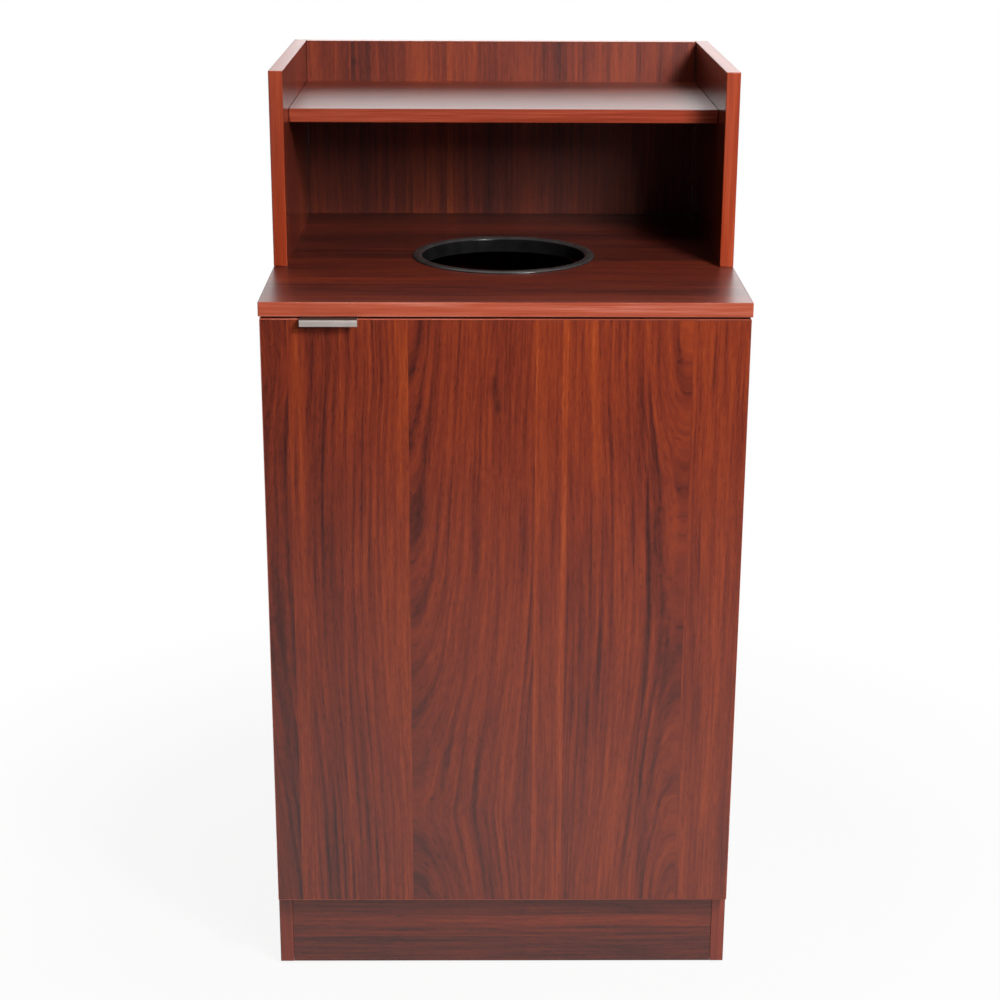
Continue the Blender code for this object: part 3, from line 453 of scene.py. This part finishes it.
RED_BAND = (
    (0.0, srgb(112, 40, 24)),
    (0.35, srgb(146, 58, 37)),
    (0.65, srgb(174, 82, 59)),
    (1.0, srgb(206, 128, 110)),
)
WARM_BAND = (
    (0.0, srgb(118, 38, 14)),
    (0.35, srgb(156, 56, 24)),
    (0.65, srgb(186, 80, 44)),
    (1.0, srgb(212, 128, 100)),
)
PLASTIC_TONES = (
    (0.1, srgb(16, 16, 17)),
    (0.35, srgb(28, 28, 29)),
    (0.65, srgb(52, 49, 48)),
    (0.9, srgb(72, 68, 67)),
)
NICKEL_DARK, NICKEL_LIGHT = srgb(218, 206, 200), srgb(238, 227, 221)
# Painted shade: the colour the pull's upward faces turn to, as if shaded by the deck above them
NICKEL_TOP_SHADE = srgb(96, 82, 76)
STEEL_DARK, STEEL_LIGHT = srgb(176, 177, 178), srgb(212, 213, 214)
BUMPER_TONES = ((0.3, srgb(196, 194, 186)), (0.7, srgb(224, 222, 214)))
BEECH_TONES = ((0.25, srgb(170, 128, 88)), (0.75, srgb(208, 172, 130)))

# Brushing of metal: waves in a metre along the three axes
UNBRUSHED = (900.0, 900.0, 900.0)
BRUSHED_SIDEWAYS = (25.0, 1600.0, 1600.0)

BANDS = (
    Band(
        "hutch side band", X, (0, 1, 1), WARM_BAND, 0.35, 0.33,
        ("hutch_left_edge_band", "hutch_right_edge_band"),
    ),
    Band("carcass side band", X, Z, RED_BAND, 0.20, 0.17, ("left_side_edge_band", "right_side_edge_band")),
    Band("deck band", Z, (1, 1, 0), RED_BAND, 0.65, 0.20, ("deck_edge_band",)),
    Band("shelf band", Z, X, RED_BAND, 0.40, 0.20, ("shelf_edge_band",)),
    Band("door band", Y, (1, 0, 1), RED_BAND, 0.66, 0.20, ("door_edge_band",)),
    Band("hutch back band", Y, X, RED_BAND, 0.50, 0.30, ("hutch_back_edge_band",)),
)


def edge_band(band):
    """Plastic band with a printed grain along the board's edge, lighter and redder than the boards."""
    finish = Finish(band.name)
    u, v = finish.dot(band.across), finish.dot(band.along)
    broad = finish.around(finish.streaks(u, v, BAND_BROAD_SEED, BAND_BROAD_STREAKS), BAND_BROAD_SWING)
    fine = finish.around(finish.streaks(u, v, BAND_FINE_SEED, BAND_FINE_STREAKS), BAND_FINE_SWING)
    shade = finish.sum(broad, fine, band.tone)
    finish.bump(fine, GRAIN_RELIEF, GRAIN_DEPTH, BAND_ROUNDING)
    rough = finish.math("MULTIPLY_ADD", fine, GRAIN_ROUGHNESS, band.roughness)
    return finish.set(base_color=finish.colour(shade, band.tones), roughness=rough)


def black_plastic(name, paler_above):
    """Moulded black plastic with a fine eggshell grain, paler above a height."""
    finish = Finish(name)
    grain = finish.noise(finish.place, detail=3.0, scale=1400.0)
    cloud = finish.noise(finish.place, detail=2.0, scale=45.0)
    paler = finish.remap(finish.dot(Z), paler_above, paler_above + PALE_EDGE, end=0.5)
    shade = finish.math("MULTIPLY_ADD", cloud, 0.45, paler)
    finish.bump(grain, strength=0.12, depth=GRAIN_DEPTH, rounding=PLASTIC_ROUNDING)
    rough = finish.math("MULTIPLY_ADD", cloud, GRAIN_ROUGHNESS, 0.16)
    return finish.set(base_color=finish.colour(shade, PLASTIC_TONES), roughness=rough)


def metal(name, dark, light, roughness, brushing, top_shade=None):
    """Satin metal, brushed along an axis where it has few waves. Its upward faces may be darkened with
    painted shade.
    """
    finish = Finish(name)
    stretched = finish.node("ShaderNodeVectorMath", finish.place, brushing, operation="MULTIPLY")
    brushed = finish.noise(stretched.outputs["Vector"], detail=3.0)
    cloud = finish.noise(finish.place, detail=2.0, scale=60.0)
    mottle = finish.sum(finish.times(brushed, 0.5), finish.times(cloud, 0.5))
    colour = finish.colour(mottle, ((0.3, dark), (0.7, light)))
    # Painted shade: faces that point up are mixed towards the top shade colour
    if top_shade is not None:
        upward = finish.product(finish.node("ShaderNodeNewGeometry").outputs["Normal"], Z)
        mixed = finish.node("ShaderNodeMix", finish.remap(upward, 0.3, 0.6), data_type="RGBA")
        finish.feed(mixed.inputs["A"], colour)
        finish.feed(mixed.inputs["B"], top_shade)
        colour = mixed.outputs["Result"]
    finish.bump(brushed, strength=0.05, depth=BRUSHED_DEPTH)
    rough = finish.math("MULTIPLY_ADD", brushed, BRUSHED_ROUGHNESS, roughness - BRUSHED_ROUGHNESS / 2)
    return finish.set(base_color=colour, roughness=rough, metallic=1.0)


def clear_bumper(name):
    """Clear soft plastic, slightly clouded."""
    finish = Finish(name)
    cloud = finish.noise(finish.place, detail=2.0, scale=500.0)
    finish.bump(cloud, strength=0.05, depth=GRAIN_DEPTH)
    finish.shader.inputs["IOR"].default_value = 1.49
    rough = finish.math("MULTIPLY_ADD", cloud, 0.1, 0.2)
    colour = finish.colour(cloud, BUMPER_TONES)
    return finish.set(base_color=colour, roughness=rough, transmission_weight=0.55)


def beech(name):
    """Plain turned beech with its short flecks."""
    finish = Finish(name)
    grain = finish.streaks(finish.dot((1.0, 0.7, 0.0)), finish.dot(Z), 0.5, Streaks(700.0, 60.0, 3.0))
    finish.bump(grain, strength=0.15, depth=GRAIN_DEPTH)
    rough = finish.math("MULTIPLY_ADD", grain, 0.15, 0.5)
    return finish.set(base_color=finish.colour(grain, BEECH_TONES), roughness=rough)


# What each node gets


def dress(material, *names):
    for name in names:
        slots = NODES[name].data.materials
        slots.clear()
        slots.append(material)


def reach(name, direction):
    """Lowest and highest place of a node along one of the three axes."""
    axis = direction.index(1.0)
    low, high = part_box(name)
    return low[axis], high[axis]


def dress_boards():
    """Laminate on every board: three have planks of their own, and the others random ones."""
    span = reach("door_edge_band", X)
    door = laminate(
        "door laminate", X, Z, span, DOOR_PLANKS, DOOR_PROFILE, tone=-0.01, roughness=0.17, knots=DOOR_KNOTS
    )
    dress(door, "door_panel")

    span = reach("hutch_back_panel", X)
    planks = straight_planks(HUTCH_BACK_PLANKS, ring=0.1)
    profile = random_profile(random.Random(41), *reach("hutch_back_panel", Z))
    back = laminate(
        "hutch back laminate", X, Z, span, planks, profile, tone=-0.03, roughness=0.38,
        knots=HUTCH_KNOTS, shaded_end=span[1] - END_SHADE_DEPTH,
    )
    dress(back, "hutch_back_panel")

    span = reach("deck_panel", Y)
    planks = straight_planks(DECK_PLANKS, ring=0.3)
    profile = random_profile(random.Random(67), *reach("deck_panel", X))
    deck = laminate("deck laminate", Y, X, span, planks, profile, tone=-0.20, roughness=0.28)
    dress(deck, "deck_panel")

    for board in BOARDS:
        draw = random.Random(board.seed)
        span = reach(board.node, board.across)
        planks = random_planks(draw, *span, board.widths, board.figures)
        profile = random_profile(draw, *reach(board.node, board.along))
        name = f"{board.node} laminate"
        material = laminate(
            name, board.across, board.along, span, planks, profile, board.tone, board.roughness
        )
        dress(material, board.node)


def named(*words):
    """The nodes whose names hold one of the words."""
    return [name for name in NODES if any(word in name for word in words)]


def dress_fittings():
    deck_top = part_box("deck_panel")[1][2]
    dress(black_plastic("black plastic", deck_top), *named("drop_hole_ring", "glide_"))
    nickel = metal("satin nickel", NICKEL_DARK, NICKEL_LIGHT, 0.55, BRUSHED_SIDEWAYS, NICKEL_TOP_SHADE)
    dress(nickel, *named("door_pull", "pull_screw"))
    plated = metal("plated steel", STEEL_DARK, STEEL_LIGHT, 0.26, UNBRUSHED)
    dress(plated, *named("hinge_", "cup_screw", "plate_screw", "_cam_"))
    dress(clear_bumper("clear bumper"), *named("bumper"))
    dress(beech("beech"), *named("dowel"))


def weld(node):
    """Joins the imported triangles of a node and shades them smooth."""
    node.data.attributes.remove(node.data.attributes["custom_normal"])
    node.data.shade_smooth()
    node.modifiers.new("weld", "WELD").merge_threshold = WELD_REACH


def round_off(*names):
    """Smooth shading over the facets of round pieces, up to their sharp edges."""
    for name in names:
        weld(NODES[name])
        NODES[name].modifiers.new("split", "EDGE_SPLIT").split_angle = SHARP_ANGLE


def soften(*names):
    """Smooth shading over the rounded edges of flat pieces, with the flats kept flat."""
    for name in names:
        weld(NODES[name])
        NODES[name].modifiers.new("flats", "WEIGHTED_NORMAL").weight = FLAT_WEIGHT


# Stage


def add_light(light):
    lamp = bpy.data.lights.new(light.name, "AREA")
    lamp.shape = "RECTANGLE"
    lamp.size, lamp.size_y = light.size
    lamp.energy = light.power
    box = bpy.data.objects.new(light.name, lamp)
    box.location = light.place
    aim = Vector(light.target) - Vector(light.place)
    box.rotation_euler = aim.to_track_quat("-Z", "Y").to_euler()
    box.visible_camera = False
    bpy.context.scene.collection.objects.link(box)


def add_camera():
    forward = Vector((
        math.sin(CAMERA_YAW) * math.cos(CAMERA_PITCH),
        math.cos(CAMERA_YAW) * math.cos(CAMERA_PITCH),
        -math.sin(CAMERA_PITCH),
    ))
    level = Vector((math.cos(CAMERA_YAW), -math.sin(CAMERA_YAW), 0.0))
    upright = level.cross(forward)
    right = math.cos(CAMERA_ROLL) * level + math.sin(CAMERA_ROLL) * upright
    up = math.cos(CAMERA_ROLL) * upright - math.sin(CAMERA_ROLL) * level
    lens = bpy.data.cameras.new("camera")
    lens.lens = CAMERA_LENS
    lens.sensor_width = CAMERA_SENSOR
    camera = bpy.data.objects.new("camera", lens)
    turn = Matrix((right, up, -forward)).transposed().to_4x4()
    camera.matrix_world = Matrix.Translation(CAMERA_PLACE) @ turn
    bpy.context.scene.collection.objects.link(camera)
    bpy.context.scene.camera = camera


def seen_rays(finish):
    """1 for the rays that see the background, camera, glossy and transmission ones, and 1 for glossy rays."""
    path = finish.node("ShaderNodeLightPath")
    glossy = path.outputs["Is Glossy Ray"]
    seen = finish.math("MAXIMUM", path.outputs["Is Camera Ray"], glossy)
    return finish.math("MAXIMUM", seen, path.outputs["Is Transmission Ray"]), glossy


class WorldFinish(Finish):
    """The same short calls for the world's node tree."""

    def __init__(self, name):
        self.world = bpy.data.worlds.new(name)
        self.world.use_nodes = True
        self.tree = self.world.node_tree
        self.tree.nodes.clear()
        self.place = self.node("ShaderNodeTexCoord").outputs["Generated"]


def add_world():
    """White to the camera and, in gloss, behind the object, dim on the camera's side, with a plain fill."""
    finish = WorldFinish("white room")
    seen, glossy = seen_rays(finish)
    towards_front = finish.remap(finish.dot(TOWARDS_FRONT), *ROOM_TURN)
    dim = finish.times(glossy, towards_front)
    shown = finish.math("MULTIPLY_ADD", dim, ROOM_BEHIND_CAMERA - 1.0, 1.0)
    strength = finish.node("ShaderNodeMix", seen, data_type="FLOAT")
    finish.feed(strength.inputs["A"], AMBIENT)
    finish.feed(strength.inputs["B"], shown)
    background = finish.node("ShaderNodeBackground", WHITE, strength.outputs[0])
    finish.node("ShaderNodeOutputWorld", background.outputs[0])
    bpy.context.scene.world = finish.world


def add_floor():
    """A white floor: its shadow shows near the object, and the camera sees plain white further out."""
    mesh = bpy.data.meshes.new("floor")
    corners = [(x * FLOOR_REACH, y * FLOOR_REACH, 0.0) for x, y in ((-1, -1), (1, -1), (1, 1), (-1, 1))]
    mesh.from_pydata(corners, [], [(0, 1, 2, 3)])
    floor = bpy.data.objects.new("floor", mesh)
    bpy.context.scene.collection.objects.link(floor)

    finish = Finish("white floor")
    seen, glossy = seen_rays(finish)
    distance = finish.node("ShaderNodeVectorMath", finish.place, operation="LENGTH").outputs["Value"]
    near = finish.remap(distance, 0.5 * SHADOW_REACH, SHADOW_REACH, 1.0, 0.0)
    far = finish.remap(finish.dot(TOWARDS_FRONT), GLOSS_NEAR, GLOSS_FAR)
    strength = finish.math("MULTIPLY_ADD", finish.times(glossy, far), GLOSS_DIM - 1.0, 1.0)
    white = finish.node("ShaderNodeEmission", WHITE, strength)
    share = finish.times(seen, finish.math("MULTIPLY_ADD", near, -FLOOR_SHADOW, 1.0))
    grey = (FLOOR_ALBEDO, FLOOR_ALBEDO, FLOOR_ALBEDO, 1.0)
    finish.set(base_color=grey, roughness=FLOOR_ROUGHNESS)
    finish.shader.inputs["Specular IOR Level"].default_value = 0.0
    both = finish.node("ShaderNodeMixShader", share, finish.shader.outputs[0], white.outputs[0])
    finish.feed(finish.tree.nodes["Material Output"].inputs["Surface"], both.outputs[0])
    mesh.materials.append(finish.material)


bpy.context.scene.view_settings.view_transform = "Standard"
dress_boards()
for band in BANDS:
    dress(edge_band(band), *band.nodes)
dress_fittings()
round_off(*named("drop_hole_ring", "glide_", "pull", "hinge_", "screw", "_cam_", "bumper", "dowel"))
soften(*named("edge_band"))
add_floor()
add_world()
for light in LIGHTS:
    add_light(light)
add_camera()
